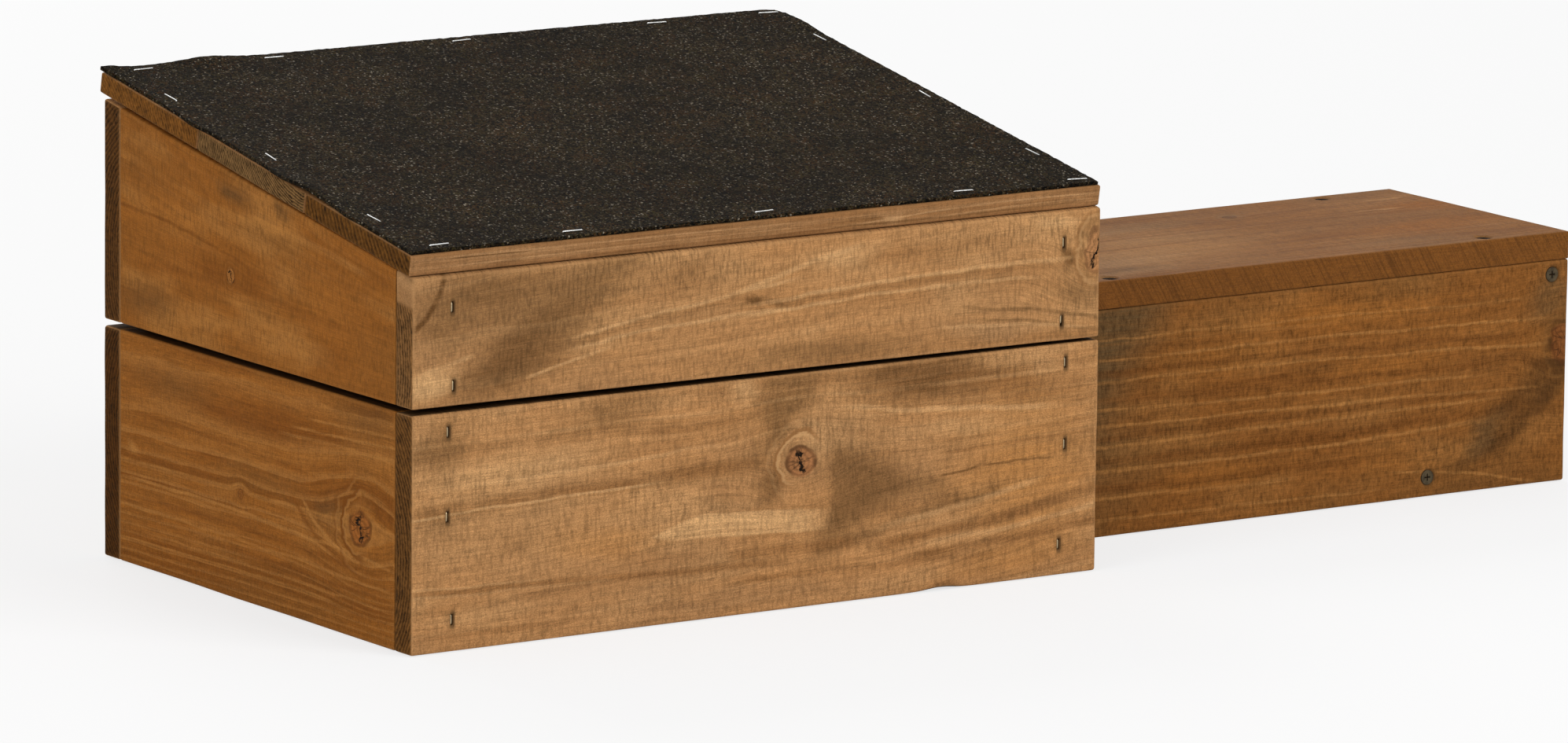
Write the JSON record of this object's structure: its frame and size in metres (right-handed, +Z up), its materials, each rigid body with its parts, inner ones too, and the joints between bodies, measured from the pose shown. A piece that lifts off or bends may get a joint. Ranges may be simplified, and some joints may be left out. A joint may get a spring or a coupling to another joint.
{
  "type": "hedgehog house",
  "caption": "Low timber shelter with slatted walls, a sloping felted roof hinged at the back, and a covered entrance tunnel joined to its right end.",
  "frame": {"origin": "on the ground, under the middle of the object's box", "axes": "+X along the front towards the tunnel's mouth, +Y to the back where the roof is hinged, +Z up"},
  "size_m": [0.746, 0.2926, 0.244],
  "materials": {
    "front_wood": "brown-stained softwood, sawn, matt",
    "side_wood": "orange-brown stained softwood, matt",
    "post_wood": "stained softwood batten, matt",
    "tunnel_wood": "mid-brown stained softwood, matt",
    "batten_wood": "stained softwood batten, matt",
    "roof_wood": "reddish-brown stained softwood, matt",
    "felt": "bitumen roofing felt with charcoal mineral granules",
    "wall_staple_wire": "coated staple wire",
    "felt_staple_wire": "bright galvanised staple wire",
    "screw_steel": "zinc-plated steel",
    "hinge_steel": "zinc-plated steel"
  },
  "bodies": {
    "house": {"front_lower_board": "front_wood", "front_upper_board": "front_wood", "back_lower_board": "front_wood", "back_upper_board": "front_wood", "left_lower_board": "side_wood", "left_upper_board": "side_wood", "right_upper_board": "side_wood", "right_front_stub_board": "side_wood", "right_back_stub_board": "side_wood", "front_left_post": "post_wood", "front_right_post": "post_wood", "back_left_post": "post_wood", "back_right_post": "post_wood", "front_wall_staples": "wall_staple_wire", "back_wall_staples": "wall_staple_wire", "side_wall_staples": "wall_staple_wire", "tunnel_front_wall": "tunnel_wood", "tunnel_back_wall": "tunnel_wood", "tunnel_top_board": "tunnel_wood", "tunnel_mouth_header": "batten_wood", "tunnel_tie": "batten_wood", "tunnel_top_screws": "screw_steel", "tunnel_wall_screws": "screw_steel", "tunnel_fixing_screws": "screw_steel", "hinge_wall_screws": "screw_steel", "left_hinge_wall_leaf": "hinge_steel", "right_hinge_wall_leaf": "hinge_steel", "left_hinge_pin": "hinge_steel", "right_hinge_pin": "hinge_steel"},
    "roof": {"roof_front_board": "roof_wood", "roof_middle_board": "roof_wood", "roof_back_board": "roof_wood", "roof_left_cleat": "batten_wood", "roof_right_cleat": "batten_wood", "cleat_staples": "wall_staple_wire", "roof_felt": "felt", "felt_staples": "felt_staple_wire", "left_hinge_roof_leaf": "hinge_steel", "right_hinge_roof_leaf": "hinge_steel", "hinge_roof_screws": "screw_steel"}
  },
  "joints": [
    {"name": "roof_hinge", "type": "hinge", "parent": "house", "child": "roof", "pos_m": [0, 0.14408, 0.23129], "axis": [-1, 0, 0], "range_deg": [0, 215]}
  ]
}
